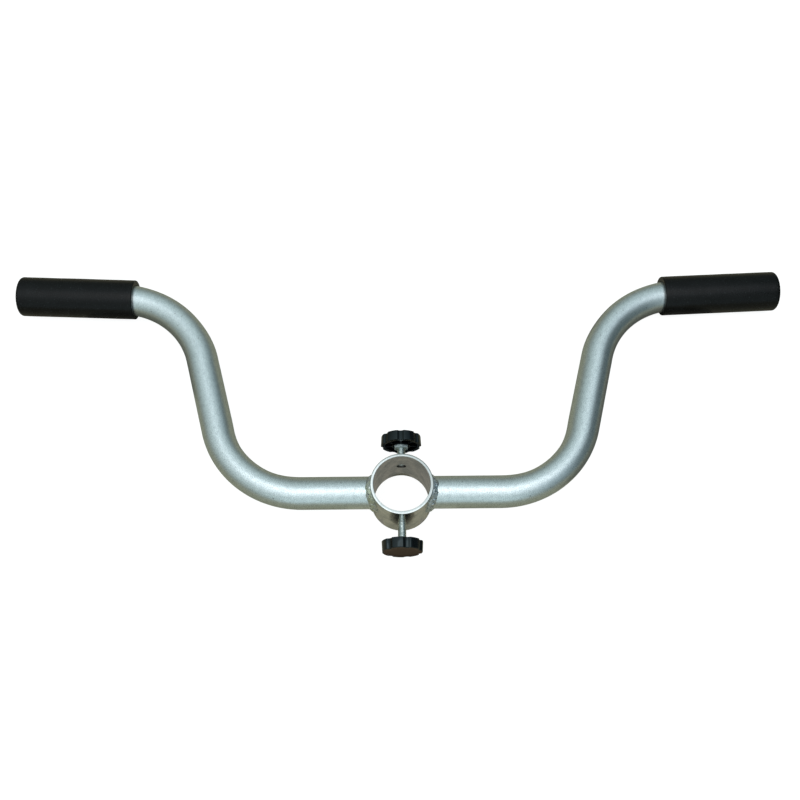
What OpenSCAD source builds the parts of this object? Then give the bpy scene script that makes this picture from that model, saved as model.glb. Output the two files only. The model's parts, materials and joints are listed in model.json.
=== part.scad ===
// Two-handed handlebar attachment for a tow bar.
// A short collar slides over the tow bar's shaft and two thumb screws clamp it there.
// A bent tube with a grip is welded to each side of the collar.
// Millimetres. The origin is the centre of the collar's bore, +Z runs along the bore,
// +X runs towards the right grip and +Y towards the side on which both grips lie.
// The far screw is on the +Y side of the collar, the near screw on the -Y side.

/* [Collar] */
// Outside diameter of the collar
collar_od = 60.3; // [58:0.1:64]
// Wall thickness of the collar
collar_wall = 2.9; // [2:0.1:4]
// Length of the collar along its bore
collar_length = 56; // [50:1:80]
// Chamfer on the inner edge of both ends
collar_chamfer = 0.6; // [0.2:0.1:1.2]

/* [Arms] */
// Outside diameter of the arm tubes
arm_od = 31.8; // [30:0.1:34]
// Wall thickness of the arm tubes
arm_wall = 2; // [1.5:0.1:3]
// Distance from the collar's axis to the start of the first bend
arm_run = 96; // [70:1:130]
// Centreline radius of the first bend, beside the collar
first_bend_r = 89.2; // [70:0.1:110]
// Angle of the first bend
first_bend_angle = 75.2; // [60:0.1:85]
// Straight length between the two bends
middle_run = 81.4; // [50:0.1:120]
// Centreline radius of the second bend, beside the grip
second_bend_r = 95.5; // [80:0.1:120]
// Angle of the second bend
second_bend_angle = 72.8; // [55:0.1:75]
// Straight length from the second bend to the grip's outer end
grip_run = 106.6; // [100:0.1:160]

/* [Welds] */
// Leg of the fillet bead round each arm
weld_leg = 5; // [3:0.5:6]

/* [Grips] */
// Outside diameter of the grips
grip_od = 41.3; // [38:0.1:46]
// Length of each grip along the tube
grip_length = 120.7; // [115:0.1:140]
// Thickness of the grip's closed end
grip_end_wall = 5; // [3:0.5:8]
// Rounding of the closed end's edge
grip_end_round = 3; // [2:0.5:8]

/* [Screws] */
// Diameter of the studs
stud_d = 8; // [6:1:8]
// Depth of the stud's tip inside the collar's bore wall
tip_recess = 0.5; // [0.2:0.1:1]
// Width across flats of the jam nuts
nut_flats = 13; // [12:0.5:13]
// Height of the jam nuts
nut_height = 4; // [3:0.5:6]
// Depth to which each nut sits in the recess of its knob's hub
nut_sink = 2; // [1:0.5:3]
// Distance from the bore's axis to the far knob's inner rim
far_knob_reach = 48; // [44:0.1:56]
// Distance from the bore's axis to the near knob's inner rim
near_knob_reach = 49.2; // [44:0.1:56]
// Turn of the far knob's lobes about its screw
far_knob_turn = 37; // [0:1:51]
// Turn of the near knob's lobes about its screw
near_knob_turn = 1; // [0:1:51]

/* [Knobs] */
// Diameter over the knob's lobes
knob_d = 40; // [36:0.5:44]
// Height of the knob's rim
knob_height = 10.2; // [9:0.1:12]
// Number of lobes
lobe_count = 7; // [5:1:9]
// Depth of the notches between the lobes
notch_depth = 1.8; // [1:0.1:2.5]
// Thickness of the knob's top plate and rim wall
knob_skin = 2.4; // [1.8:0.1:2.8]
// Diameter of the knob's hub
hub_d = 18; // [16:0.5:20]

/* [Hidden] */
$fn = 96;

// Collar and arms
collar_r = collar_od / 2;
bore_r = collar_r - collar_wall;
arm_r = arm_od / 2;
arm_inner_r = arm_r - arm_wall;
overlap = 1;

// A bend is this much thinner on each face than the straight tubes, which run a little way over its ends
bend_thinning = 0.05;
bend_cover = 0.5;

// The arm's centreline: its start inside the collar, each bend's centre and the last straight's start
arm_start = bore_r * 0.7;
first_centre = [arm_run, first_bend_r];
middle_dir = [cos(first_bend_angle), sin(first_bend_angle)];
middle_side = [sin(first_bend_angle), -cos(first_bend_angle)];
middle_start = first_centre + first_bend_r * middle_side;
middle_end = middle_start + middle_run * middle_dir;
second_centre = middle_end + second_bend_r * middle_side;
grip_angle = first_bend_angle - second_bend_angle;
grip_start = second_centre + second_bend_r * [-sin(grip_angle), cos(grip_angle)];

// Grips
grip_r = grip_od / 2;
grip_gap = 0.05;
grip_bore_r = arm_r + grip_gap;
tube_end = grip_run - grip_end_wall;
grip_overrun = grip_length - grip_run;
bore_sweep = 1.5 * grip_overrun / second_bend_r * 180 / PI;

// Screws, measured outwards along the screw's axis from the bore's axis
running_gap = 0.05;
hole_r = stud_d / 2 + running_gap;
hole_chamfer = 0.6;
tip_reach = bore_r + tip_recess;
tip_chamfer = 0.8;
hub_stand = 0.8;
recess_r = nut_flats / 2 / cos(30) + 0.25;
insert_r = 6;
insert_depth = 5;
stud_depth = 6;
rim_chamfer = 1;
knob_r = knob_d / 2;
notch_r = 4.2;
rib_width = 1.6;
rim_inner_r = knob_r - notch_depth - knob_skin;

// A tube or ring section
module ring_outline(outer, inner) {
    difference() {
        circle(r = outer);
        circle(r = inner);
    }
}

// A straight tube along a line from a point of the XY plane at an angle from +X
module straight_tube(start, angle, from, to) {
    translate([start[0], start[1], 0])
        rotate([0, 0, angle])
            translate([from, 0, 0])
                rotate([90, 0, 90])
                    linear_extrude(height = to - from)
                        ring_outline(arm_r, arm_inner_r);
}

// A section swept round a centre in the XY plane
module bend(centre, radius, from_angle, sweep) {
    translate([centre[0], centre[1], 0])
        rotate([0, 0, from_angle])
            rotate_extrude(angle = sweep)
                translate([radius, 0])
                    children();
}

// A bend of the arm's tube
module bent_tube(centre, radius, from_angle, sweep) {
    bend(centre, radius, from_angle, sweep)
        ring_outline(arm_r - bend_thinning, arm_inner_r + bend_thinning);
}

// The right arm's tube, coped to the outside of the collar
module arm() {
    difference() {
        union() {
            straight_tube([0, 0], 0, arm_start, arm_run + bend_cover);
            bent_tube(first_centre, first_bend_r, -90, first_bend_angle);
            straight_tube(middle_start, first_bend_angle, -bend_cover, middle_run + bend_cover);
            bent_tube(second_centre, second_bend_r, 90 + grip_angle, second_bend_angle);
            straight_tube(grip_start, grip_angle, -bend_cover, tube_end);
        }
        cylinder(h = collar_length, r = collar_r, center = true);
    }
}

// The fillet round the right arm's joint, stepped in three from the collar to the tube
module weld() {
    difference() {
        for (step = [1 : 3])
            intersection() {
                cylinder(h = collar_length, r = collar_r + weld_leg * (4 - step) / 3, center = true);
                rotate([0, 90, 0])
                    cylinder(h = collar_r + weld_leg + overlap, r = arm_r + weld_leg * step / 3);
            }
        cylinder(h = collar_length + overlap, r = collar_r, center = true);
        rotate([0, 90, 0])
            cylinder(h = collar_od, r = arm_r);
    }
}

// Half section of a grip without its bore: its length runs up the Y axis
module grip_outline() {
    square([grip_r - grip_end_round, grip_length]);
    square([grip_r, grip_length - grip_end_round]);
    translate([grip_r - grip_end_round, grip_length - grip_end_round])
        circle(r = grip_end_round);
}

// The right grip: straight outside, with a bore that follows the tube into the bend
module grip() {
    difference() {
        translate([grip_start[0], grip_start[1], 0])
            rotate([0, 0, grip_angle])
                rotate([0, 90, 0])
                    difference() {
                        translate([0, 0, -grip_overrun])
                            rotate_extrude()
                                grip_outline();
                        translate([0, 0, -bend_cover])
                            cylinder(h = bend_cover + tube_end + grip_gap, r = grip_bore_r);
                    }
        bend(second_centre, second_bend_r, 90 + grip_angle, bore_sweep)
            circle(r = grip_bore_r - bend_thinning);
    }
}

// Turns a screw's pieces, drawn with their axis up Z, outwards along +Y or -Y
module far_side() {
    rotate([-90, 0, 0])
        children();
}

module near_side() {
    rotate([90, 0, 0])
        children();
}

// The collar with its two tapped holes, drawn as plain holes
module collar_body() {
    difference() {
        cylinder(h = collar_length, r = collar_r, center = true);
        cylinder(h = collar_length + overlap, r = bore_r, center = true);
        for (end = [-1, 1])
            translate([0, 0, end * collar_length / 2])
                cylinder(h = 2 * collar_chamfer, r1 = bore_r + (1 - end) * collar_chamfer,
                    r2 = bore_r + (1 + end) * collar_chamfer, center = true);
        far_side()
            screw_hole();
        near_side()
            screw_hole();
    }
}

// A tapped hole through the collar's wall, with a small countersink outside
module screw_hole() {
    cylinder(h = collar_r + overlap, r = hole_r);
    translate([0, 0, collar_r - hole_chamfer])
        cylinder(h = 2 * hole_chamfer, r1 = hole_r, r2 = hole_r + 2 * hole_chamfer);
}

// The stud with a chamfered tip; it ends inside the knob's insert
module stud(reach) {
    stud_end = reach - hub_stand + stud_depth;
    stud_r = stud_d / 2;
    translate([0, 0, tip_reach])
        cylinder(h = tip_chamfer, r1 = stud_r - tip_chamfer, r2 = stud_r);
    translate([0, 0, tip_reach + tip_chamfer])
        cylinder(h = stud_end - tip_reach - tip_chamfer, r = stud_r);
}

// The jam nut, seated in the hub's recess, with a corner facing +Z
module jam_nut(reach) {
    translate([0, 0, reach - hub_stand + nut_sink - nut_height])
        difference() {
            intersection() {
                rotate([0, 0, 30])
                    cylinder(h = nut_height, r = nut_flats / 2 / cos(30), $fn = 6);
                cylinder(h = nut_height, r1 = nut_flats * 0.5, r2 = nut_flats * 0.5 + 2 * nut_height);
            }
            translate([0, 0, -overlap])
                cylinder(h = nut_height + 2 * overlap, r = hole_r);
        }
}

// The round bush moulded into the knob's hub, flush with the recess's floor
module insert(reach) {
    translate([0, 0, reach - hub_stand + nut_sink])
        difference() {
            cylinder(h = insert_depth, r = insert_r);
            translate([0, 0, -overlap])
                cylinder(h = insert_depth + 2 * overlap, r = hole_r);
        }
}

// Outline of the lobed rim
module lobe_outline() {
    difference() {
        circle(r = knob_r);
        for (i = [0 : lobe_count - 1])
            rotate([0, 0, (i + 0.5) * 360 / lobe_count])
                translate([knob_r + notch_r - notch_depth, 0])
                    circle(r = notch_r);
    }
}

// Half section of the knob before its notches are cut, with chamfered corners
module knob_outline() {
    polygon([
        [0, -hub_stand],
        [hub_d / 2, -hub_stand],
        [hub_d / 2, 0],
        [knob_r - rim_chamfer, 0],
        [knob_r, rim_chamfer],
        [knob_r, knob_height - rim_chamfer],
        [knob_r - rim_chamfer, knob_height],
        [0, knob_height]
    ]);
}

// Space under the knob's top plate, between the hub, the rim and the ribs
module knob_pocket() {
    translate([0, 0, -overlap])
        linear_extrude(height = knob_height - knob_skin + overlap)
            difference() {
                ring_outline(rim_inner_r, hub_d / 2);
                for (i = [0 : lobe_count - 1])
                    rotate([0, 0, (i + 0.5) * 360 / lobe_count])
                        translate([0, -rib_width / 2])
                            square([knob_r, rib_width]);
            }
}

// The lobed knob with a hollow underside
module knob(reach, turn) {
    translate([0, 0, reach])
        rotate([0, 0, turn])
            difference() {
                intersection() {
                    rotate_extrude()
                        knob_outline();
                    translate([0, 0, -hub_stand])
                        linear_extrude(height = knob_height + hub_stand)
                            lobe_outline();
                }
                knob_pocket();
                translate([0, 0, -hub_stand - overlap])
                    cylinder(h = nut_sink + overlap, r = recess_r);
                translate([0, 0, -hub_stand])
                    cylinder(h = nut_sink + insert_depth + running_gap, r = insert_r + running_gap);
            }
}

module collar() {
    color("gainsboro")
        collar_body();
}

module arm_right() {
    color("silver")
        arm();
}

module arm_left() {
    color("silver")
        mirror([1, 0, 0])
            arm();
}

module weld_right() {
    color("lightslategray")
        weld();
}

module weld_left() {
    color("lightslategray")
        mirror([1, 0, 0])
            weld();
}

module grip_right() {
    color([0.1, 0.12, 0.12])
        grip();
}

module grip_left() {
    color([0.1, 0.12, 0.12])
        mirror([1, 0, 0])
            grip();
}

module far_stud() {
    color("lightsteelblue")
        far_side()
            stud(far_knob_reach);
}

module far_jam_nut() {
    color("whitesmoke")
        far_side()
            jam_nut(far_knob_reach);
}

module far_insert() {
    color("goldenrod")
        far_side()
            insert(far_knob_reach);
}

module far_knob() {
    color([0.05, 0.05, 0.06])
        far_side()
            knob(far_knob_reach, far_knob_turn);
}

module near_stud() {
    color("lightsteelblue")
        near_side()
            stud(near_knob_reach);
}

module near_jam_nut() {
    color("whitesmoke")
        near_side()
            jam_nut(near_knob_reach);
}

module near_insert() {
    color("goldenrod")
        near_side()
            insert(near_knob_reach);
}

module near_knob() {
    color([0.05, 0.05, 0.06])
        near_side()
            knob(near_knob_reach, near_knob_turn);
}

collar();
arm_left();
arm_right();
weld_left();
weld_right();
grip_left();
grip_right();
far_stud();
far_jam_nut();
far_insert();
far_knob();
near_stud();
near_jam_nut();
near_insert();
near_knob();
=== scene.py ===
"""Looks of a tow bar's two-handed handlebar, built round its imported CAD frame, in metres."""
import json
import math

import bmesh
import bpy
from mathutils import Matrix, Vector, noise


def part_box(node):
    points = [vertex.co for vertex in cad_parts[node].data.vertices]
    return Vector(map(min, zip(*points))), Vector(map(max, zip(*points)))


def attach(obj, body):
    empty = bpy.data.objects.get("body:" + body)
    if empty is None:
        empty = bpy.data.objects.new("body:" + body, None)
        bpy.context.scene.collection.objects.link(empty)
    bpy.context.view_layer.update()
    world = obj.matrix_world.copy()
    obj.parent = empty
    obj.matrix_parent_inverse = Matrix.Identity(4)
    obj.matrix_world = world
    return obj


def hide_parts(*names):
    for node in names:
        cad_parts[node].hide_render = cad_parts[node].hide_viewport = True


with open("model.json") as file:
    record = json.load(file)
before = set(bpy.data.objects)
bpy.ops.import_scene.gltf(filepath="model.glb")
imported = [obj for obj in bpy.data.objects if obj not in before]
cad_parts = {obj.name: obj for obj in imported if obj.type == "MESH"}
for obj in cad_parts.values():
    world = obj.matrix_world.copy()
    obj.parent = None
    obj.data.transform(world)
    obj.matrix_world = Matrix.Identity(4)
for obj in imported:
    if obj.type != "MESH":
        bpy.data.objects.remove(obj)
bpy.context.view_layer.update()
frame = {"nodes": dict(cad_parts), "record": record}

MM = 0.001
RECORD = frame["record"]

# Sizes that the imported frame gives
COLLAR_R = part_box("collar")[1].x
COLLAR_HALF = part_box("collar")[1].z
BORE_R = next(m for m in RECORD["mounts"] if m["name"] == "collar_bore")["dims"]["r_mm"] * MM
FAR_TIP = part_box("far_stud")[0].y
FAR_STUD_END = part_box("far_stud")[1].y
NEAR_TIP = -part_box("near_stud")[1].y
NEAR_STUD_END = -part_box("near_stud")[0].y
FAR_NUT_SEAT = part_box("far_jam_nut")[1].y
NEAR_NUT_SEAT = -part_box("near_jam_nut")[0].y
NUT_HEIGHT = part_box("far_jam_nut")[1].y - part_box("far_jam_nut")[0].y
ARM_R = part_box("arm_right")[1].z
STUD_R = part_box("far_stud")[1].x

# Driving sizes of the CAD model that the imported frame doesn't give
ARM_WALL = 2 * MM
ARM_RUN = 96 * MM
FIRST_BEND_R = 89.2 * MM
FIRST_BEND_ANGLE = math.radians(75.2)
MIDDLE_RUN = 81.4 * MM
SECOND_BEND_R = 95.5 * MM
SECOND_BEND_ANGLE = math.radians(72.8)
GRIP_RUN = 106.6 * MM
GRIP_LENGTH = 120.7 * MM
GRIP_R = 20.65 * MM
GRIP_END_WALL = 5 * MM
GRIP_END_ROUND = 3 * MM
WELD_LEG = 5 * MM
KNOB_R = 20 * MM
KNOB_HEIGHT = 10.2 * MM
KNOB_SKIN = 2.4 * MM
LOBES = 7
NOTCH_R = 4.2 * MM
NOTCH_DEPTH = 1.8 * MM
HUB_R = 9 * MM
HUB_STAND = 0.8 * MM
INSERT_R = 6 * MM
INSERT_DEPTH = 5 * MM
NUT_SINK = 2 * MM
FAR_KNOB_TURN = math.radians(37)
NEAR_KNOB_TURN = math.radians(1)
NUT_FLATS = 13 * MM
THREAD_PITCH = 1.25 * MM
# How far out each knob's open end is
FAR_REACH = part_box("far_knob")[1].y - KNOB_HEIGHT
NEAR_REACH = -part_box("near_knob")[0].y - KNOB_HEIGHT

# Sizes of the looks only: the threads' depth, the knobs' taper, and the gap between pieces that fit together
THREAD_DEPTH = 0.68 * MM
KNOB_DRAFT = math.tan(math.radians(3))
FIT_GAP = 0.05 * MM

TAU = 2 * math.pi
# The screws' pieces are drawn with their axis up Z, then turned outwards along +Y or -Y
FAR_SIDE = Matrix(((1, 0, 0), (0, 0, 1), (0, -1, 0))).to_4x4()
NEAR_SIDE = Matrix(((1, 0, 0), (0, 0, -1), (0, 1, 0))).to_4x4()
MIRROR = Matrix.Diagonal((-1, 1, 1, 1))
# The collar's materials, by their place in its list
WALL_FINISH, FACE_FINISH, THREAD_FINISH = 0, 1, 2


# ---------------------------------------------------------------- mesh helpers
def loft(rings, closed=False):
    """Points and faces of equally long rings joined in order.

    A closed loft joins the last ring to the first; an open one gets a fan of triangles at each end.
    """
    n = len(rings[0])
    points = [Vector(p) for ring in rings for p in ring]
    faces = []
    pairs = list(zip(range(len(rings) - 1), range(1, len(rings))))
    if closed:
        pairs.append((len(rings) - 1, 0))
    for a, b in pairs:
        for i in range(n):
            j = (i + 1) % n
            faces.append((a * n + i, a * n + j, b * n + j, b * n + i))
    if not closed:
        for ring, flip in ((0, True), (len(rings) - 1, False)):
            centre = sum((Vector(p) for p in rings[ring]), Vector()) / n
            points.append(centre)
            c = len(points) - 1
            for i in range(n):
                j = (i + 1) % n
                tri = (ring * n + i, ring * n + j, c)
                faces.append(tri[::-1] if flip else tri)
    return points, faces


def make_object(name, points, faces, material, matrix=None, sharp=32, bevel=None, uvs=None):
    """A mesh object with outward faces, smooth but for edges sharper than sharp degrees.

    Those edges get a fine bevel where one is asked for, and uvs gives each point a place on the surface map.
    """
    mesh = bpy.data.meshes.new(name)
    mesh.from_pydata([tuple(p) for p in points], [], faces)
    if uvs:
        layer = mesh.uv_layers.new(name="Surface")
        for loop in mesh.loops:
            layer.data[loop.index].uv = uvs[loop.vertex_index]
    if matrix is not None:
        mesh.transform(matrix)
    bm = bmesh.new()
    bm.from_mesh(mesh)
    bmesh.ops.recalc_face_normals(bm, faces=bm.faces)
    for face in bm.faces:
        face.smooth = True
    for edge in bm.edges:
        edge.smooth = not (edge.is_manifold and edge.calc_face_angle() > math.radians(sharp))
    bm.to_mesh(mesh)
    bm.free()
    obj = bpy.data.objects.new(name, mesh)
    bpy.context.scene.collection.objects.link(obj)
    for m in material if isinstance(material, (list, tuple)) else [material]:
        mesh.materials.append(m)
    if bevel:
        mod = obj.modifiers.new("Edges", "BEVEL")
        mod.width = bevel
        mod.segments = 2
        mod.limit_method = "ANGLE"
        mod.angle_limit = math.radians(sharp)
        mod.harden_normals = False
    return obj


def clamp(x):
    return max(0.0, min(1.0, x))


def smoothstep(t):
    return t * t * (3 - 2 * t)


def smooth_min(a, b, k):
    """The smaller of a and b, blended where they differ by less than k."""
    h = clamp(0.5 + 0.5 * (b - a) / k)
    return b + (a - b) * h - k * h * (1 - h)


def hand(side):
    """The name of the side, and what turns a right-hand piece into that side's."""
    return ("right", None) if side > 0 else ("left", MIRROR)


def stick(obj, body, slot, *nodes):
    """The piece rides on body and stands for those CAD nodes, which it hides; slot is not used."""
    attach(obj, body)
    if nodes:
        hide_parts(*nodes)
    return obj


# ---------------------------------------------------------------- materials
class Nodes:
    """Short calls for building one material's nodes."""

    def __init__(self, name):
        self.material = bpy.data.materials.new(name)
        self.material.use_nodes = True
        self.tree = self.material.node_tree
        self.tree.nodes.clear()
        self.out = self.tree.nodes.new("ShaderNodeOutputMaterial")
        self.bsdf = self.tree.nodes.new("ShaderNodeBsdfPrincipled")
        self.tree.links.new(self.bsdf.outputs[0], self.out.inputs["Surface"])
        self.last_normal = None

    def add(self, kind, **inputs):
        """A node. Each keyword is an input's name with _ for a space, or else one of its properties."""
        n = self.tree.nodes.new("ShaderNode" + kind)
        for key, value in inputs.items():
            name = key.replace("_", " ")
            socket = next((s for s in n.inputs if s.name == name and s.enabled), None)
            if socket is None:
                setattr(n, key, value)
            elif isinstance(value, bpy.types.NodeSocket):
                self.tree.links.new(value, socket)
            else:
                socket.default_value = value
        return n

    def coords(self, scale=(1, 1, 1), uv=False):
        """Object coordinates, or the surface coordinates of a piece that has them, in metres times scale."""
        if uv:
            source = self.add("UVMap", uv_map="Surface").outputs["UV"]
        else:
            source = self.add("TexCoord").outputs["Object"]
        return self.add("Mapping", Vector=source, Scale=scale).outputs[0]

    def noise(self, coords, scale, detail=3.0, rough=0.55, distortion=0.0):
        """Noise with scale lumps to a metre."""
        shape = {"Scale": scale, "Detail": detail, "Roughness": rough, "Distortion": distortion}
        return self.add("TexNoise", Vector=coords, **shape).outputs["Fac"]

    def spread(self, value, low, high, to_low=0.0, to_high=1.0):
        """Maps low..high of a value to to_low..to_high, held beyond both ends."""
        n = self.add("MapRange", Value=value, From_Min=low, From_Max=high, To_Min=to_low, To_Max=to_high)
        return n.outputs["Result"]

    def math(self, operation, a, b=0.0):
        n = self.tree.nodes.new("ShaderNodeMath")
        n.operation = operation
        for socket, value in zip(n.inputs, (a, b)):
            if isinstance(value, bpy.types.NodeSocket):
                self.tree.links.new(value, socket)
            else:
                socket.default_value = value
        return n.outputs[0]

    def blend(self, factor, a, b):
        """Mixes two colours by a node output."""
        n = self.tree.nodes.new("ShaderNodeMix")
        n.data_type = "RGBA"
        for name, value in (("Factor_Float", factor), ("A_Color", a), ("B_Color", b)):
            socket = next(s for s in n.inputs if s.identifier == name)
            if isinstance(value, bpy.types.NodeSocket):
                self.tree.links.new(value, socket)
            else:
                socket.default_value = (*value, 1.0)
        return next(s for s in n.outputs if s.identifier == "Result_Color")

    def bump(self, height, strength, distance):
        """Adds a bump over those before it."""
        n = self.add("Bump", Strength=strength, Distance=distance, Height=height)
        if self.last_normal is not None:
            self.tree.links.new(self.last_normal, n.inputs["Normal"])
        self.last_normal = n.outputs[0]

    def finish(self, **sockets):
        """Sets the shader's sockets, by number, colour or node output, and gives the material."""
        for key, value in sockets.items():
            socket = self.bsdf.inputs[key.replace("_", " ")]
            if isinstance(value, bpy.types.NodeSocket):
                self.tree.links.new(value, socket)
            elif isinstance(value, tuple):
                socket.default_value = (*value, 1.0)
            else:
                socket.default_value = value
        if self.last_normal is not None:
            self.tree.links.new(self.last_normal, self.bsdf.inputs["Normal"])
        return self.material


def arm_material():
    """Silver satin metal: a fine mottled grain, faint lines left by finishing, and a few dark specks."""
    m = Nodes("satin_silver")
    surface = m.coords(uv=True)
    grain = m.noise(surface, 1250, 3.0, 0.6)
    lines = m.noise(m.coords((1.0, 0.12, 1.0), uv=True), 1500, 2.0, 0.6)
    clouds = m.noise(surface, 230, 4.0, 0.65)
    drift = m.noise(surface, 18, 2.0)
    specks = m.spread(m.noise(surface, 420, 1.0, 0.3), 0.735, 0.79)
    mottle = m.math("ADD", m.math("MULTIPLY", clouds, 0.22), m.math("MULTIPLY", grain, 0.78))
    tone = m.spread(mottle, 0.40, 0.60)
    colour = m.blend(tone, (0.47, 0.54, 0.55), (0.85, 0.93, 0.935))
    colour = m.blend(m.math("MULTIPLY", specks, 0.55), colour, (0.16, 0.17, 0.16))
    rough = m.math("ADD", m.spread(mottle, 0.3, 0.7, 0.40, 0.30), m.spread(drift, 0.3, 0.7, -0.02, 0.03))
    m.bump(lines, 0.16, 0.0001)
    m.bump(grain, 0.38, 0.00012)
    m.bump(clouds, 0.12, 0.0003)
    return m.finish(Base_Color=colour, Metallic=1.0, Roughness=rough)


def weld_material():
    """The same silver over a rough bead, dark in its pits, with painted reflection tints: straw-green on the
    left-hand bead and bluish on the right.
    """
    m = Nodes("silver_over_weld")
    place = m.coords()
    lumps = m.noise(place, 520, 4.0, 0.7, 0.6)
    pits = m.spread(m.noise(place, 900, 2.0, 0.5, 0.8), 0.34, 0.46)
    tint = m.noise(place, 150, 2.0)
    # Painted reflection: the left-hand bead is tinted straw-green and the right-hand one bluish, in patches
    side = m.add("SeparateXYZ", Vector=place).outputs["X"]
    reflection_tint = m.blend(m.spread(side, -0.01, 0.01), (0.66, 0.70, 0.50), (0.60, 0.72, 0.80))
    colour = m.blend(m.spread(lumps, 0.38, 0.6), (0.42, 0.47, 0.48), (0.90, 0.94, 0.94))
    colour = m.blend(m.spread(tint, 0.42, 0.62, 0.1, 0.8), colour, reflection_tint)
    colour = m.blend(pits, (0.13, 0.16, 0.18), colour)
    m.bump(pits, 0.6, 0.0004)
    m.bump(lumps, 0.7, 0.0008)
    return m.finish(Base_Color=colour, Metallic=1.0, Roughness=m.spread(lumps, 0.3, 0.7, 0.42, 0.26))


def collar_wall_material():
    """Turned steel tube, satin to glossy, with fine lines round it and slight stains."""
    m = Nodes("turned_wall")
    turning = m.noise(m.coords((0.04, 0.04, 1.0)), 2600, 3.0, 0.6)
    stains = m.noise(m.coords(), 90, 5.0, 0.6)
    grain = m.noise(m.coords(), 1100, 2.0)
    colour = m.blend(m.spread(stains, 0.38, 0.62), (0.44, 0.48, 0.48), (0.70, 0.715, 0.685))
    rough = m.math("ADD", m.spread(stains, 0.35, 0.65, 0.22, 0.13), m.spread(turning, 0.3, 0.7, -0.03, 0.05))
    m.bump(turning, 0.18, 0.00006)
    m.bump(grain, 0.10, 0.0001)
    return m.finish(Base_Color=colour, Metallic=1.0, Roughness=rough)


def collar_face_material():
    """Faced end of the collar: bright, with painted shade towards its right and far side, concentric tool
    marks and small dings.
    """
    m = Nodes("faced_end")
    place = m.add("TexCoord").outputs["Object"]
    flat = m.add("VectorMath", operation="MULTIPLY")
    m.tree.links.new(place, flat.inputs[0])
    flat.inputs[1].default_value = (1, 1, 0)
    length = m.add("VectorMath", operation="LENGTH")
    m.tree.links.new(flat.outputs[0], length.inputs[0])
    radius = m.add("CombineXYZ")
    m.tree.links.new(length.outputs["Value"], radius.inputs[0])
    marks = m.noise(radius.outputs[0], 3000, 2.0)
    dings = m.noise(m.coords(), 240, 4.0, 0.65)
    colour = m.blend(m.spread(dings, 0.3, 0.6), (0.80, 0.83, 0.82), (0.95, 0.97, 0.955))
    # Painted shade: the faced ends darken towards the right and far side
    shaded_side = m.add("VectorMath", operation="DOT_PRODUCT")
    m.tree.links.new(place, shaded_side.inputs[0])
    shaded_side.inputs[1].default_value = (0.7, 0.7, 0.0)
    colour = m.blend(m.spread(shaded_side.outputs["Value"], -0.008, 0.024), colour, (0.58, 0.61, 0.60))
    m.bump(marks, 0.25, 0.00008)
    m.bump(dings, 0.15, 0.0002)
    return m.finish(Base_Color=colour, Metallic=1.0, Roughness=m.spread(dings, 0.3, 0.7, 0.5, 0.34))


def thread_material():
    """The tapped holes: cut steel, dark as painted shade inside the holes, in uneven blotches."""
    m = Nodes("shaded_thread")
    shade_blotches = m.noise(m.coords(), 500, 4.0, 0.6)
    colour = m.blend(m.spread(shade_blotches, 0.35, 0.65), (0.035, 0.033, 0.028), (0.16, 0.15, 0.13))
    m.bump(shade_blotches, 0.3, 0.0002)
    return m.finish(Base_Color=colour, Metallic=0.6, Roughness=m.spread(shade_blotches, 0.3, 0.7, 0.6, 0.4))


def rubber_material():
    """Matt black grip: a fine leathery grain, a dusty bloom and a few rubbed specks."""
    m = Nodes("grip_rubber")
    grain = m.noise(m.coords(), 1300, 3.0, 0.65)
    skin = m.add("TexVoronoi", Vector=m.coords(), Scale=620.0, feature="DISTANCE_TO_EDGE")
    cells = skin.outputs["Distance"]
    dust = m.noise(m.coords(), 70, 5.0, 0.65)
    specks = m.spread(m.noise(m.coords(), 850, 1.0, 0.3), 0.66, 0.76)
    colour = m.blend(m.spread(dust, 0.35, 0.68), (0.0008, 0.0010, 0.0010), (0.0028, 0.0036, 0.0036))
    colour = m.blend(m.math("MULTIPLY", specks, 0.5), colour, (0.03, 0.036, 0.038))
    m.bump(m.spread(cells, 0.0, 0.22), 0.18, 0.00012)
    m.bump(grain, 0.25, 0.00010)
    rough = m.spread(dust, 0.3, 0.7, 0.29, 0.22)
    return m.finish(Base_Color=colour, Roughness=rough, Specular_IOR_Level=0.21)


def zinc_material():
    """Bright zinc plate, bluish white, with a fine grain."""
    m = Nodes("bright_zinc")
    stains = m.noise(m.coords(), 300, 4.0, 0.6)
    grain = m.noise(m.coords(), 2500, 2.0)
    colour = m.blend(m.spread(stains, 0.35, 0.65), (0.56, 0.62, 0.61), (0.78, 0.84, 0.82))
    m.bump(grain, 0.16, 0.00005)
    return m.finish(Base_Color=colour, Metallic=1.0, Roughness=m.spread(stains, 0.3, 0.7, 0.34, 0.2))


def dull_lit_zinc_material():
    """The plating of the jam nuts and the studs' tips: more matt than the rest of the studs, and paler as
    painted light.
    """
    m = Nodes("dull_lit_zinc")
    stains = m.noise(m.coords(), 420, 4.0, 0.6)
    colour = m.blend(m.spread(stains, 0.35, 0.65), (0.74, 0.84, 0.84), (0.90, 0.99, 0.99))
    m.bump(stains, 0.2, 0.0001)
    return m.finish(Base_Color=colour, Metallic=1.0, Roughness=m.spread(stains, 0.3, 0.7, 0.66, 0.5))


def brass_material():
    """Turned brass bush, dulled at its end."""
    m = Nodes("turned_brass")
    marks = m.noise(m.coords((1.0, 0.05, 1.0)), 2200, 2.0)
    tarnish = m.noise(m.coords(), 260, 4.0, 0.6)
    colour = m.blend(m.spread(tarnish, 0.35, 0.65), (0.46, 0.33, 0.13), (0.74, 0.58, 0.28))
    m.bump(marks, 0.2, 0.00006)
    return m.finish(Base_Color=colour, Metallic=1.0, Roughness=m.spread(tarnish, 0.3, 0.7, 0.42, 0.26))


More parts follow.
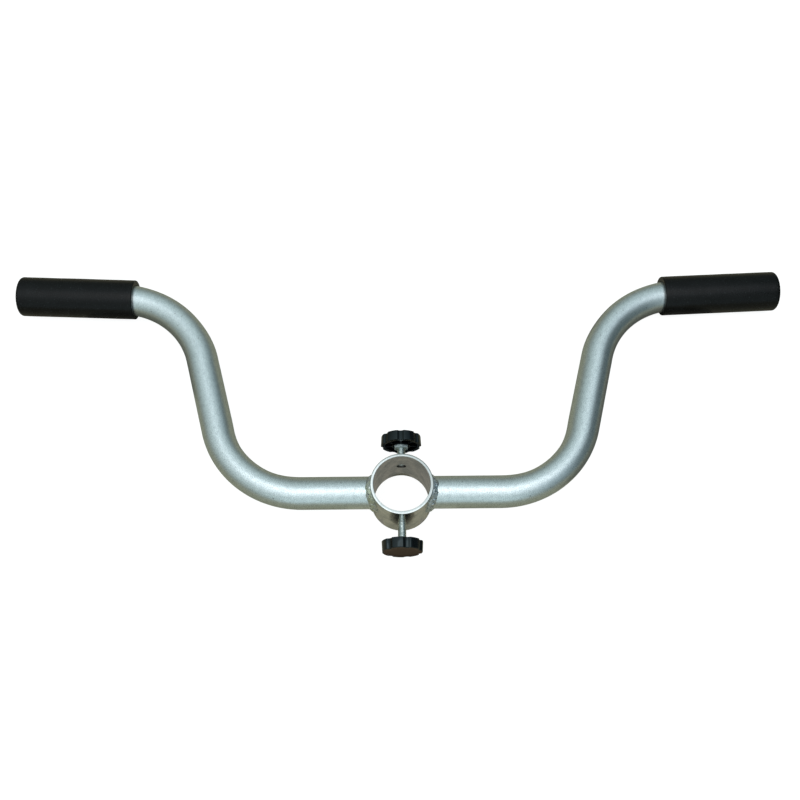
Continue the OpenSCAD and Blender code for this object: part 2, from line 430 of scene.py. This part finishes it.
def plastic_material():
    """Glossy black moulded plastic with slight flow marks, fine scuffs and dust, its highlights painted teal.
    """
    m = Nodes("moulded_black")
    flow = m.noise(m.coords(), 120, 2.0)
    scuffs = m.noise(m.coords((1.0, 1.0, 0.15)), 1400, 3.0, 0.6)
    dust = m.noise(m.coords(), 700, 5.0, 0.7)
    colour = m.blend(m.spread(dust, 0.52, 0.72), (0.0015, 0.0015, 0.0018), (0.006, 0.006, 0.0065))
    m.bump(flow, 0.10, 0.0006)
    m.bump(scuffs, 0.08, 0.00005)
    return m.finish(
        Base_Color=colour,
        Roughness=m.spread(scuffs, 0.3, 0.7, 0.07, 0.15),
        Specular_IOR_Level=0.50,
        # Painted colour of the light: the highlights are tinted teal
        Specular_Tint=(0.76, 0.95, 1.0),
    )


SATIN = arm_material()
WELD = weld_material()
WALL = collar_wall_material()
FACE = collar_face_material()
THREAD = thread_material()
RUBBER = rubber_material()
ZINC = zinc_material()
DULL_LIT_ZINC = dull_lit_zinc_material()
BRASS = brass_material()
PLASTIC = plastic_material()


# ---------------------------------------------------------------- collar
def make_collar():
    """The collar: a grid round each wall with a fan of quads round each screw hole, and turned ends."""
    columns, rows = 192, 56
    centre_row = rows // 2
    # Half the width of a hole's fan, in grid squares
    reach = 8
    top = COLLAR_HALF - 0.8 * MM
    hole = STUD_R + 0.12 * MM
    thread_rise = 0.14 * MM
    # The countersink on the outer wall, and the deeper, wider counterbore on the inner one
    sink = 0.65 * MM
    inner_sink = 1.0 * MM
    inner_hole = hole + 0.65 * MM
    inner_slope = 0.1 * MM
    points, index, faces, finishes = [], {}, [], []

    def vertex(key, place):
        if key not in index:
            index[key] = len(points)
            points.append(place)
        return index[key]

    def on_wall(wall, i, j):
        angle = TAU * (i % columns) / columns
        r = COLLAR_R if wall else BORE_R
        z = -top + 2 * top * j / rows
        return vertex((wall, i % columns, j), (r * math.sin(angle), r * math.cos(angle), z))

    def quad(a, b, c, d, finish=WALL_FINISH):
        finishes.append(finish)
        faces.append((a, b, c, d))

    def in_fan(i, j):
        """Whether a square of the grid lies in a hole's fan, round column 0 or the one opposite."""
        beside = (i + reach) % (columns // 2) < 2 * reach
        return beside and centre_row - reach <= j < centre_row + reach

    for wall in (0, 1):
        for i in range(columns):
            for j in range(rows):
                if not in_fan(i, j):
                    corners = ((i, j), (i + 1, j), (i + 1, j + 1), (i, j + 1))
                    quad(*(on_wall(wall, *corner) for corner in corners))

    # Each hole runs from a square of grid points on the outer wall, through its threads, to the inner wall's
    square = (
        [(k, -reach) for k in range(-reach, reach)]
        + [(reach, k) for k in range(-reach, reach)]
        + [(-k, reach) for k in range(-reach, reach)]
        + [(-reach, -k) for k in range(-reach, reach)]
    )
    for side, column in ((1, 0), (-1, columns // 2)):
        loops = []

        def wall_loop(wall, share, radius):
            """A loop on a wall, that share of the way from its square of grid points to the hole's circle."""
            r = COLLAR_R if wall else BORE_R
            loop = []
            for k, (di, dj) in enumerate(square):
                corner = points[on_wall(wall, column + side * di, centre_row + dj)]
                a = math.atan2(dj, di)
                x = (1 - share) * corner[0] + share * radius * math.cos(a)
                z = (1 - share) * corner[2] + share * radius * math.sin(a)
                loop.append(vertex((side, wall, share, k), (x, side * math.sqrt(r * r - x * x), z)))
            return loop

        def deep_loop(tag, radius, depth):
            """A loop in the hole, at a depth below 0 from the outer wall. Its radius may go by the angle."""
            loop = []
            for k, (di, dj) in enumerate(square):
                a = math.atan2(dj, di)
                swell = radius(a) if callable(radius) else radius
                x, z = swell * math.cos(a), swell * math.sin(a)
                loop.append(vertex((side, tag, k), (x, side * (math.sqrt(COLLAR_R**2 - x * x) + depth), z)))
            return loop

        loops.append([on_wall(1, column + side * di, centre_row + dj) for di, dj in square])
        loops += [wall_loop(1, share, hole + sink) for share in (0.35, 0.7, 1.0)]
        outer_loops = len(loops)
        thread_steps = 10
        thread_length = COLLAR_R - BORE_R - sink - inner_sink
        for step in range(thread_steps + 1):
            depth = -sink - thread_length * step / thread_steps
            ridge = lambda a, d=depth: hole + thread_rise * (1 + math.sin(TAU * d / THREAD_PITCH + a))
            loops.append(deep_loop(("thread", step), ridge, depth))
        loops.append(deep_loop("counterbore", inner_hole - inner_slope, -sink - thread_length))
        inner_loops = len(loops)
        loops += [wall_loop(0, share, inner_hole) for share in (1.0, 0.7, 0.35)]
        loops.append([on_wall(0, column + side * di, centre_row + dj) for di, dj in square])
        # The threads and counterbore take the dark thread finish: painted shade inside the holes
        for number, (a, b) in enumerate(zip(loops, loops[1:])):
            finish = THREAD_FINISH if outer_loops <= number < inner_loops else WALL_FINISH
            for k in range(len(square)):
                n = (k + 1) % len(square)
                quad(a[k], a[n], b[n], b[k], finish)

    # The ends, from the outer wall over a bevel, the faced ring and a chamfer to the bore. Each row is
    # a loop: a wall's radius, a step out from it and a drop in from the end, both in bevel widths, and
    # the finish of the strip that leads up to it
    profile = (
        (COLLAR_R, -0.08, 0.60, WALL_FINISH),
        (COLLAR_R, -0.33, 0.28, WALL_FINISH),
        (COLLAR_R, -0.70, 0.07, WALL_FINISH),
        (COLLAR_R, -1.0, 0.0, FACE_FINISH),
        (COLLAR_R, -1.7, 0.0, FACE_FINISH),
        (BORE_R, 0.4, 0.0, FACE_FINISH),
        (BORE_R, 0.3, 0.05, FACE_FINISH),
        (BORE_R, 0.03, 0.32, FACE_FINISH),
    )
    for end, row in ((-1, 0), (1, rows)):
        loops = [[on_wall(1, i, row) for i in range(columns)]]
        for number, (base, step, drop, _) in enumerate(profile):
            loop = []
            for i in range(columns):
                a = TAU * i / columns
                # The edges were filed by hand, so their bevels are wider on the far side
                wide = (0.75 + 0.30 * math.cos(a)) * MM
                r, z = base + step * wide, end * (COLLAR_HALF - drop * wide)
                loop.append(vertex(("end", end, number, i), (r * math.sin(a), r * math.cos(a), z)))
            loops.append(loop)
        loops.append([on_wall(0, i, row) for i in range(columns)])
        end_finishes = [finish for _, _, _, finish in profile] + [WALL_FINISH]
        for a, b, finish in zip(loops, loops[1:], end_finishes):
            for i in range(columns):
                n = (i + 1) % columns
                quad(a[i], a[n], b[n], b[i], finish)

    obj = make_object("collar_body", points, faces, [WALL, FACE, THREAD], sharp=28)
    for face, finish in zip(obj.data.polygons, finishes):
        face.material_index = finish
    return stick(obj, "handlebar", "collar_steel", "collar")


# ---------------------------------------------------------------- arms
def arm_stations(step):
    """(place, heading, distance) along the right arm's centreline, from the collar's axis to its end."""
    pieces = (
        (ARM_RUN, 0.0),
        (FIRST_BEND_R * FIRST_BEND_ANGLE, 1 / FIRST_BEND_R),
        (MIDDLE_RUN, 0.0),
        (SECOND_BEND_R * SECOND_BEND_ANGLE, -1 / SECOND_BEND_R),
        (GRIP_RUN - GRIP_END_WALL, 0.0),
    )
    x = y = heading = distance = 0.0
    out = [(Vector((0, 0, 0)), 0.0, 0.0)]
    for length, curve in pieces:
        count = max(1, round(length / step))
        for k in range(1, count + 1):
            s = length * k / count
            h = heading + curve * s
            if curve:
                px = x + (math.sin(h) - math.sin(heading)) / curve
                py = y - (math.cos(h) - math.cos(heading)) / curve
            else:
                px, py = x + s * math.cos(heading), y + s * math.sin(heading)
            out.append((Vector((px, py, 0)), h, distance + s))
        x, y, heading, distance = px, py, h, distance + length
    return out


STATIONS = arm_stations(3 * MM)
GRIP_ANGLE = STATIONS[-1][1]
TUBE_END = STATIONS[-1][0]


def make_arm(side):
    """A bent tube, coped to the collar, hollow, with a surface map that runs along and round it in metres."""
    around = 72
    stations = [s for s in STATIONS if s[0].x > COLLAR_R + 2 * MM or s[1] > 0]
    rings, maps = [], []
    first_end = ARM_RUN + FIRST_BEND_R * FIRST_BEND_ANGLE
    second_start = first_end + MIDDLE_RUN
    second_end = second_start + SECOND_BEND_R * SECOND_BEND_ANGLE
    # The length over which the flattening comes and goes, and how far it runs on past a bend
    ease = 42 * MM
    overrun = 8 * MM

    def pressed(distance):
        """How far the wall on the first bend's inner side is flattened here, as a share of the radius."""
        share = 0.0
        for start, end, depth in ((ARM_RUN, first_end, 0.10), (second_start, second_end, 0.075)):
            rise = clamp((distance - start) / ease)
            fall = clamp((end + overrun - distance) / ease)
            share += depth * smoothstep(min(rise, fall))
        return share

    def ring(place, heading, distance, r, cope):
        """Adds a ring of radius r and its places on the surface map. Coping fits it to the collar's wall."""
        across = Vector((-math.sin(heading), math.cos(heading), 0))
        points = []
        for i in range(around):
            a = TAU * i / around - math.pi / 2
            flat = 1 - pressed(distance) * max(0.0, math.cos(a)) ** 2
            p = place + r * (flat * math.cos(a) * across + math.sin(a) * Vector((0, 0, 1)))
            if cope:
                p.x = math.sqrt(COLLAR_R**2 - p.y**2) + 0.02 * MM
            points.append(p)
            maps.append((distance if not cope else p.x, r * TAU * i / around))
        rings.append(points)

    start = (Vector((COLLAR_R, 0, 0)), 0.0, COLLAR_R)
    ring(*start, ARM_R, True)
    for s in stations:
        ring(*s, ARM_R, False)
    end = stations[-1]
    ring(*end, ARM_R - ARM_WALL, False)
    for s in reversed(stations[:-1]):
        ring(*s, ARM_R - ARM_WALL, False)
    ring(*start, ARM_R - ARM_WALL, True)
    points, faces = loft(rings, closed=True)
    name, matrix = hand(side)
    obj = make_object("arm_tube_" + name, points, faces, SATIN, matrix, sharp=40, uvs=maps)
    return stick(obj, "handlebar", "arm_paint", "arm_" + name)


def make_weld(side):
    """A fillet bead round the arm's joint: overlapping scales with uneven lumps."""
    around, across = 400, 22
    scales = 46
    toe_sink = 0.05 * MM
    rings = []
    for i in range(around):
        a = TAU * i / around
        out = Vector((0, math.sin(a), math.cos(a)))
        root = Vector((0, ARM_R * math.sin(a), ARM_R * math.cos(a)))
        root.x = math.sqrt(COLLAR_R**2 - root.y**2)
        normal = Vector((root.x, root.y, 0)) / COLLAR_R
        up_wall = (out - out.dot(normal) * normal).normalized()
        seed = Vector((side * 3.7, 0, 0)) + out
        leg_tube = WELD_LEG * (1.02 + 0.24 * noise.noise(seed * 3.1) + 0.08 * noise.noise(seed * 9.0))
        leg_wall = WELD_LEG * (0.86 + 0.24 * noise.noise(seed * 3.3 + Vector((5, 0, 0))))
        foot = root + leg_tube * Vector((1, 0, 0))
        head = root + leg_wall * up_wall
        flat = math.sqrt(head.x**2 + head.y**2)
        head.x, head.y = head.x * COLLAR_R / flat, head.y * COLLAR_R / flat
        swell = 1.1 * MM * (1 + 0.5 * noise.noise(seed * 4.0 + Vector((0, 7, 0))))
        phase = (scales * i / around) % 1.0
        scale_rise = 0.38 * MM * (math.sqrt(max(0.0, 1 - (2 * phase - 1) ** 2)) - 0.6)
        ring = []
        for k in range(across + 1):
            t = k / across
            chord = foot.lerp(head, t)
            outward = (Vector((1, 0, 0)) + out).normalized()
            bulge = math.sin(math.pi * t)
            place = Vector((side * 40, 0, 0)) + chord / MM
            lumps = 0.50 * noise.noise(place / 2.3)
            ridges = 0.34 * (0.4 - abs(noise.noise(place / 1.1)))
            grains = 0.14 * noise.noise(place / 0.6)
            rise = swell - 0.75 * MM + scale_rise + (lumps + ridges + grains) * MM
            ring.append(chord + outward * (bulge * rise - (1 - bulge) * toe_sink))
        inner = root - 0.3 * MM * (Vector((1, 0, 0)) + out)
        ring.append(inner)
        rings.append(ring)
    points, faces = loft(rings, closed=True)
    name, matrix = hand(side)
    obj = make_object("weld_bead_" + name, points, faces, WELD, matrix, sharp=60)
    return stick(obj, "handlebar", "weld_bead", "weld_" + name)


# ---------------------------------------------------------------- grips
def make_grip(side):
    """A straight sleeve with a closed, rounded outer end; its bore follows the tube into the bend."""
    around = 96
    overrun = GRIP_LENGTH - GRIP_RUN
    along = Vector((math.cos(GRIP_ANGLE), math.sin(GRIP_ANGLE), 0))
    across = Vector((-along.y, along.x, 0))
    start = TUBE_END - along * (GRIP_RUN - GRIP_END_WALL)
    bore = ARM_R + FIT_GAP
    unevenness = 0.12 * MM
    wave_length = 16 * MM

    def ring(u, r, uneven=True, drift=0.0):
        """A ring of radius r, u along the grip from where the tube runs straight, moved sideways by drift."""
        points = []
        spot = start + along * u
        for i in range(around):
            a = TAU * i / around
            out = math.cos(a) * across + math.sin(a) * Vector((0, 0, 1))
            wave = 0.0
            if uneven:
                place = (spot + out * r) / wave_length + Vector((9 * side, 0, 0))
                wave = unevenness * noise.noise(place) - 0.13 * MM
            points.append(spot + across * drift + out * (r + wave))
        return points

    def bend_sag(u):
        """How far the tube's centreline has bent away from the grip's axis, u before the straight run."""
        return math.sqrt(SECOND_BEND_R**2 - u * u) - SECOND_BEND_R

    rings = []
    bore_end = GRIP_RUN - GRIP_END_WALL + FIT_GAP
    rings.append(ring(bore_end, bore * 0.5, False))
    rings.append(ring(bore_end, bore, False))
    for k in range(1, 12):
        rings.append(ring(bore_end * (1 - k / 12), bore, False))
    for k in range(7):
        u = -(overrun - 0.5 * MM) * k / 6
        rings.append(ring(u, bore, False, bend_sag(u)))
    rings.append(ring(-overrun, bore + 0.35 * MM, False, bend_sag(overrun)))
    lip = 1.1 * MM
    rings.append(ring(-overrun, GRIP_R - lip - 0.4 * MM, True, 0.0))
    for k in range(6):
        a = math.radians(90 * k / 5)
        rings.append(ring(-overrun + lip * (1 - math.cos(a)), GRIP_R - lip + lip * math.sin(a)))
    body = GRIP_LENGTH - lip - GRIP_END_ROUND
    for k in range(1, 40):
        rings.append(ring(-overrun + lip + body * k / 40, GRIP_R))
    flat_r = GRIP_R - GRIP_END_ROUND
    for k in range(13):
        a = math.radians(90 * k / 12)
        u = GRIP_RUN - GRIP_END_ROUND + GRIP_END_ROUND * math.sin(a)
        rings.append(ring(u, flat_r + GRIP_END_ROUND * math.cos(a)))
    for share in (0.75, 0.5, 0.25):
        rings.append(ring(GRIP_RUN, flat_r * share))
    points, faces = loft(rings)
    name, matrix = hand(side)
    obj = make_object("grip_sleeve_" + name, points, faces, RUBBER, matrix, sharp=50)
    return stick(obj, "handlebar", "grip_rubber", "grip_" + name)


# ---------------------------------------------------------------- thumb screws
def make_stud(name, tip, end, matrix, body):
    """A stud with a rolled right-hand thread and a domed, duller tip, paler as painted light."""
    around = 48
    step = THREAD_PITCH / 12
    count = round((end - tip) / step)
    root = STUD_R - THREAD_DEPTH
    rings = []

    def nose(depth):
        """Radius of the domed end, which runs out into a chamfer."""
        dome = 2.1 * MM
        cap = math.sqrt(max(0.0, dome**2 - max(0.0, dome - depth) ** 2)) if depth < 1.0 * MM else STUD_R
        return min(0.2 * MM + cap, STUD_R - 1.8 * MM + depth)

    for k in range(count + 1):
        z = tip + (end - tip) * k / count
        ring = []
        for i in range(around):
            a = TAU * i / around
            phase = (z / THREAD_PITCH - i / around) % 1.0
            flank = abs(2 * phase - 1)
            share = smoothstep(clamp((flank - 0.10) / 0.58))
            r = min(root + THREAD_DEPTH * share, nose(z - tip))
            ring.append((r * math.cos(a), r * math.sin(a), z))
        rings.append(ring)
    points, faces = loft(rings)
    obj = make_object(name + "_thread", points, faces, [ZINC, DULL_LIT_ZINC], matrix, sharp=50)
    # The tip takes the paler zinc: painted light
    tip_rings = math.ceil(1.2 * MM / step)
    for face in obj.data.polygons:
        if min(face.vertices) < around * tip_rings or len(points) - 2 in face.vertices:
            face.material_index = 1
    return stick(obj, body, "zinc_stud", name)


def make_nut(name, seat, matrix, body):
    """A hexagon jam nut with both ends chamfered and a countersunk bore."""
    per_flat = 12
    around = 6 * per_flat
    bore = STUD_R + FIT_GAP
    half = NUT_FLATS / 2
    washer = half * 0.96
    slope = math.tan(math.radians(30))

    def hexagon(i):
        """A point's angle, and the hexagon's radius there."""
        a = TAU * i / around + math.pi / 6
        off = (a - math.pi / 6) % (math.pi / 3) - math.pi / 6
        return a, half / math.cos(off)

    def ring(radius, height):
        """A round ring, or the hexagon where radius is None. Its height may go by the hexagon's radius."""
        out = []
        for i in range(around):
            a, full = hexagon(i)
            r = full if radius is None else radius
            z = height(full) if callable(height) else height
            out.append((r * math.cos(a), r * math.sin(a), z))
        return out

    low, high = seat - NUT_HEIGHT, seat
    drop = lambda full: (full - washer) * slope
    rings = [
        ring(bore, low + 0.5 * MM),
        ring(bore + 0.55 * MM, low),
        ring(washer, low),
        ring(None, lambda full: low + drop(full)),
        ring(None, lambda full: (low + high) / 2),
        ring(None, lambda full: high - drop(full)),
        ring(washer, high),
        ring(bore + 0.55 * MM, high),
        ring(bore, high - 0.5 * MM),
        ring(bore, (low + high) / 2),
    ]
    points, faces = loft(rings, closed=True)
    # The nut takes the paler, more matt zinc: the matt finish is its own, the paleness painted light
    obj = make_object(name + "_hex", points, faces, DULL_LIT_ZINC, matrix, sharp=25, bevel=0.14 * MM)
    return stick(obj, body, "zinc_nut", name)


def make_knob(name, reach, turn, matrix, body):
    """A lobed knob: rounded rim, slightly dished top, and a ribbed, hollow underside round its hub."""
    sector = TAU / LOBES
    rib_half = 0.8 * MM
    pocket_r = KNOB_R - NOTCH_DEPTH - KNOB_SKIN
    notch_far = KNOB_R + NOTCH_R - NOTCH_DEPTH
    floor = KNOB_HEIGHT - KNOB_SKIN
    # Steps between one rib and the next
    fine = 34

    def angles(r):
        """(angle, whether it is on a rib) all round, with two angles close together at a rib's edges."""
        edge = math.asin(rib_half / max(r, 3 * MM))
        soft = math.asin((rib_half + 0.12 * MM) / max(r, 3 * MM))
        out = []
        for lobe in range(LOBES):
            base = turn + (lobe + 0.5) * sector
            out += [(base + x, True) for x in (-edge, -edge / 3, edge / 3, edge)]
            out += [(base + soft + (sector - 2 * soft) * k / fine, False) for k in range(fine + 1)]
        return out

    def outline(a):
        """The rim's radius at an angle: the full circle, cut by a round notch between every two lobes."""
        off = (a - turn - 0.5 * sector + sector / 2) % sector - sector / 2
        across = notch_far * math.sin(off)
        if abs(across) >= NOTCH_R:
            return KNOB_R
        near = notch_far * math.cos(off) - math.sqrt(NOTCH_R**2 - across**2)
        return smooth_min(KNOB_R, near, 0.9 * MM)

    def ring(r, z, rib_z=None):
        """A round ring at height z, or at rib_z over the ribs."""
        out = []
        for a, on_rib in angles(r):
            height = rib_z if on_rib and rib_z is not None else z
            out.append((r * math.cos(a), r * math.sin(a), reach + height))
        return out

    def rim(inset, z):
        """A ring that follows the lobes, inset from their outline."""
        out = []
        for a, _ in angles(KNOB_R):
            r = outline(a) - inset - KNOB_DRAFT * z
            out.append((r * math.cos(a), r * math.sin(a), reach + z))
        return out

    recess_floor = NUT_SINK - HUB_STAND
    recess_r = NUT_FLATS / math.sqrt(3) + 0.25 * MM
    socket_r = INSERT_R + FIT_GAP
    socket_floor = recess_floor + INSERT_DEPTH + FIT_GAP
    rib_top = 0.7 * MM
    rings = [
        ring(INSERT_R * 0.5, socket_floor),
        ring(socket_r, socket_floor),
        ring(socket_r, recess_floor),
        ring(recess_r, recess_floor),
        ring(recess_r, -HUB_STAND + 0.2 * MM),
        ring(recess_r + 0.2 * MM, -HUB_STAND),
        ring(HUB_R - 0.35 * MM, -HUB_STAND),
        ring(HUB_R, -HUB_STAND + 0.35 * MM),
        ring(HUB_R + 0.02 * MM, rib_top, rib_top),
        ring(HUB_R + 0.06 * MM, floor - 0.5 * MM, rib_top),
        ring(HUB_R + 0.5 * MM, floor, rib_top),
        ring(pocket_r - 0.5 * MM, floor, rib_top),
        ring(pocket_r - 0.1 * MM, floor - 0.5 * MM, rib_top),
        ring(pocket_r, rib_top, rib_top),
        ring(pocket_r + 0.02 * MM, 0.25 * MM),
        ring(pocket_r + 0.27 * MM, 0.0),
    ]
    inner_round, outer_round = 0.5 * MM, 0.9 * MM
    for k in range(6):
        a = math.radians(90 * k / 5)
        rings.append(rim(inner_round * (1 - math.sin(a)), inner_round * (1 - math.cos(a))))
    for k in range(7):
        a = math.radians(90 * k / 6)
        z = KNOB_HEIGHT - outer_round * (1 - math.sin(a))
        rings.append(rim(outer_round * (1 - math.cos(a)), z))
    for share, dish in ((0.80, 0.02), (0.76, 0.22), (0.72, 0.30), (0.4, 0.34), (0.15, 0.35)):
        rings.append(ring(KNOB_R * share, KNOB_HEIGHT - dish * MM))
    points, faces = loft(rings)
    obj = make_object(name + "_moulding", points, faces, PLASTIC, matrix, sharp=38)
    return stick(obj, body, "knob_plastic", name)


make_collar()
for side in (1, -1):
    make_arm(side)
    make_weld(side)
    make_grip(side)
make_stud("far_stud", FAR_TIP, FAR_STUD_END, FAR_SIDE, "far_screw")
make_stud("near_stud", NEAR_TIP, NEAR_STUD_END, NEAR_SIDE, "near_screw")
make_nut("far_jam_nut", FAR_NUT_SEAT, FAR_SIDE, "far_screw")
make_nut("near_jam_nut", NEAR_NUT_SEAT, NEAR_SIDE, "near_screw")
make_knob("far_knob", FAR_REACH, FAR_KNOB_TURN, FAR_SIDE, "far_screw")
make_knob("near_knob", NEAR_REACH, NEAR_KNOB_TURN, NEAR_SIDE, "near_screw")
for insert in ("far_insert", "near_insert"):
    node = frame["nodes"][insert]
    node.data.materials.clear()
    node.data.materials.append(BRASS)


# ---------------------------------------------------------------- studio
def plane(name, size, place, tilt, strength, colour, diffuse):
    """A flat square sheet of the stage, dull, in a diffuse colour, with a glow of its own."""
    s = size / 2
    mesh = bpy.data.meshes.new(name)
    mesh.from_pydata([(-s, -s, 0), (s, -s, 0), (s, s, 0), (-s, s, 0)], [], [(0, 1, 2, 3)])
    obj = bpy.data.objects.new(name, mesh)
    bpy.context.scene.collection.objects.link(obj)
    obj.location = place
    obj.rotation_euler = (tilt, 0, 0)
    material = bpy.data.materials.new(name)
    material.use_nodes = True
    bsdf = material.node_tree.nodes["Principled BSDF"]
    bsdf.inputs["Base Color"].default_value = (*diffuse, 1)
    bsdf.inputs["Roughness"].default_value = 1.0
    bsdf.inputs["Specular IOR Level"].default_value = 0.0
    bsdf.inputs["Emission Color"].default_value = (*colour, 1)
    bsdf.inputs["Emission Strength"].default_value = strength
    mesh.materials.append(material)
    return obj


FLOOR_SIZE = 12.0
# The handlebar lies on the collar's far lower edge and on both grips, so the floor leans a little
FLOOR_TILT = math.atan2(COLLAR_HALF - GRIP_R, TUBE_END.y - COLLAR_R)
floor_point = Vector((0, COLLAR_R, -COLLAR_HALF - 0.2 * MM))
floor = plane("floor", FLOOR_SIZE, floor_point, FLOOR_TILT, 0.90, (1.0, 1.0, 0.995), (0.30, 0.30, 0.30))
floor.visible_glossy = False
# What the metal mirrors below the horizon: a warm grey-brown bench top, which only reflections show
bench_point = floor_point + Vector((0, 0, 0.1 * MM))
bench = plane("bench_reflection", FLOOR_SIZE, bench_point, FLOOR_TILT, 0.0, (0, 0, 0), (0.39, 0.345, 0.245))
# On it, painted light in and in front of the collar, and painted shadows by the knobs and beside the arms:
# name, place to the right and along the floor, width and depth, lift off the floor, all in mm, glow, colour
PATCHES = (
    ("front_glow", 0.0, -38.0, 110, 48, 0.2, 0.097, (0.39, 0.345, 0.235)),
    ("collar_glow", 0.0, 0.0, 50, 50, 0.3, 0.19, (0.12, 0.105, 0.08)),
    ("near_penumbra", 1.0, -50.0, 46, 27, 0.25, 0.0, (0.18, 0.155, 0.11)),
    ("near_shade", 1.0, -50.5, 31, 20, 0.3, 0.0, (0.02, 0.02, 0.018)),
    ("front_shade", 1.0, -68.5, 48, 15, 0.3, 0.0, (0.262, 0.17, 0.105)),
    ("far_shade", 0.0, 42.0, 40, 18, 0.3, 0.0, (0.11, 0.125, 0.13)),
    ("right_shade", 262.0, 100.0, 150, 260, 0.3, 0.0, (0.15, 0.13, 0.10)),
    ("left_shade", -270.0, 160.0, 130, 90, 0.3, 0.0, (0.18, 0.16, 0.12)),
)
patches = [bench]
for name, x, y, wide, deep, lift, glow, colour in PATCHES:
    along = y * MM - COLLAR_R
    rise = along * math.sin(FLOOR_TILT) + lift * MM
    spot = floor_point + Vector((x * MM, along * math.cos(FLOOR_TILT), rise))
    patch = plane(name, MM, spot, FLOOR_TILT, glow, (1.0, 0.96, 0.84), colour)
    patch.scale = (wide, deep, 1)
    patches.append(patch)

# A dark card beyond the right grip keeps the right arm's outer side dark
card = plane("dark_card", 0.5, Vector((0.62, 0.27, 0.22)), 0.0, 0.0, (0, 0, 0), (0.10, 0.13, 0.14))
card.rotation_euler = (0, math.radians(-90), 0)
card.scale = (1.0, 1.6, 1.0)
for sheet in patches + [card]:
    for ray in ("camera", "diffuse", "shadow", "transmission", "volume_scatter"):
        setattr(sheet, "visible_" + ray, False)


DOME_LEAN = math.radians(9)
DOME_STRENGTH = 1.0
# Degrees from the dome's axis, and the light there
DOME = (
    (0, (1.08, 1.11, 1.13)),
    (20, (1.06, 1.11, 1.14)),
    (22, (1.30, 1.45, 1.55)),
    (26, (1.30, 1.45, 1.55)),
    (29, (0.82, 0.92, 0.95)),
    (42, (0.72, 0.81, 0.83)),
    (55, (0.56, 0.65, 0.65)),
    (70, (0.37, 0.43, 0.42)),
    (85, (0.26, 0.28, 0.26)),
    (180, (0.18, 0.18, 0.14)),
)
# The right-hand side (part 0) and the far side (part 1) are dimmer: where that starts and is full, and how
SHADES = ((0, 0.1, 1.0, (0.45, 0.52, 0.60)), (1, 0.05, 0.5, (0.90, 0.93, 0.94)))
# A dim window low on the near side: how far round it starts and is full, and its light
WINDOW_EDGE = (0.80, 0.96)
WINDOW = (0.30, 0.38, 0.42)


def make_world():
    """A soft dome: bright overhead, leaning to the near side, dim at the horizon and on two sides."""
    world = bpy.data.worlds.new("soft_dome")
    bpy.context.scene.world = world
    world.use_nodes = True
    tree = world.node_tree
    tree.nodes.clear()

    def add(kind, *links, **settings):
        n = tree.nodes.new("ShaderNode" + kind)
        for key, value in settings.items():
            setattr(n, key, value)
        for socket, value in zip(n.inputs, links):
            if isinstance(value, bpy.types.NodeSocket):
                tree.links.new(value, socket)
            elif value is not None:
                socket.default_value = value
        return n

    def ramp(value, stops):
        n = add("ValToRGB", value)
        elements = n.color_ramp.elements
        while len(elements) > 1:
            elements.remove(elements[-1])
        for k, (place, colour) in enumerate(stops):
            e = elements[0] if k == 0 else elements.new(place)
            e.position = place
            e.color = (*colour, 1)
        return n.outputs[0]

    def ease(value, start, end):
        """0 at start, 1 at end, and smooth between them."""
        return add("MapRange", value, start, end, 0.0, 1.0, interpolation_type="SMOOTHSTEP").outputs[0]

    def join(a, b, operation):
        return add("VectorMath", a, b, operation=operation).outputs[0]

    direction = add("TexCoord").outputs["Generated"]
    axis = (0, -math.sin(DOME_LEAN), math.cos(DOME_LEAN))
    height = add("VectorMath", direction, axis, operation="DOT_PRODUCT").outputs["Value"]
    angle = add("Math", height, operation="ARCCOSINE").outputs[0]
    share = add("Math", angle, math.pi, operation="DIVIDE").outputs[0]
    light = ramp(share, [(deg / 180, colour) for deg, colour in DOME])
    parts = add("SeparateXYZ", direction)
    for part, start, end, colour in SHADES:
        towards = ease(parts.outputs[part], start, end)
        light = join(light, ramp(towards, [(0.0, (1, 1, 1)), (1.0, colour)]), "MULTIPLY")
    near = add("Math", parts.outputs["Y"], -1.0, operation="MULTIPLY").outputs[0]
    window = ease(near, *WINDOW_EDGE)
    light = join(light, ramp(window, [(0.0, (0, 0, 0)), (1.0, WINDOW)]), "ADD")
    dome = add("Background", light, DOME_STRENGTH)
    seen = add("Background", (1.0, 1.0, 1.0, 1.0), 1.0)
    mix = add("MixShader", add("LightPath").outputs["Is Camera Ray"], dome.outputs[0], seen.outputs[0])
    tree.links.new(mix.outputs[0], add("OutputWorld").inputs["Surface"])


make_world()

key_data = bpy.data.lights.new("overhead", "AREA")
key_data.shape = "RECTANGLE"
key_data.size, key_data.size_y = 1.5, 0.9
key_data.energy = 3
key_data.color = (1.0, 1.0, 0.99)
key = bpy.data.objects.new("overhead", key_data)
key.location = (0.0, -0.15, 1.6)
key.rotation_euler = (math.radians(-8), 0, 0)
bpy.context.scene.collection.objects.link(key)

# ---------------------------------------------------------------- camera
CAMERA_TILT = math.radians(23.48)
CAMERA_PAN = math.radians(-0.53)
CAMERA_ROLL = math.radians(-0.47)
CAMERA_DISTANCE = 0.9721
CAMERA_SHIFT = (0.0016, -0.0899)
camera_data = bpy.data.cameras.new("camera")
camera_data.lens = 45.04
camera_data.sensor_width = 36
camera = bpy.data.objects.new("camera", camera_data)
back = Vector(
    (
        math.sin(CAMERA_PAN),
        -math.sin(CAMERA_TILT) * math.cos(CAMERA_PAN),
        math.cos(CAMERA_TILT) * math.cos(CAMERA_PAN),
    )
)
level = (Vector((1, 0, 0)) - back * back.x).normalized()
up = back.cross(level)
right = math.cos(CAMERA_ROLL) * level + math.sin(CAMERA_ROLL) * up
up = back.cross(right)
camera.matrix_world = Matrix((right, up, back)).transposed().to_4x4()
camera.location = CAMERA_DISTANCE * back - CAMERA_SHIFT[0] * right - CAMERA_SHIFT[1] * up
bpy.context.scene.collection.objects.link(camera)
bpy.context.scene.camera = camera
bpy.context.scene.view_settings.view_transform = "Standard"
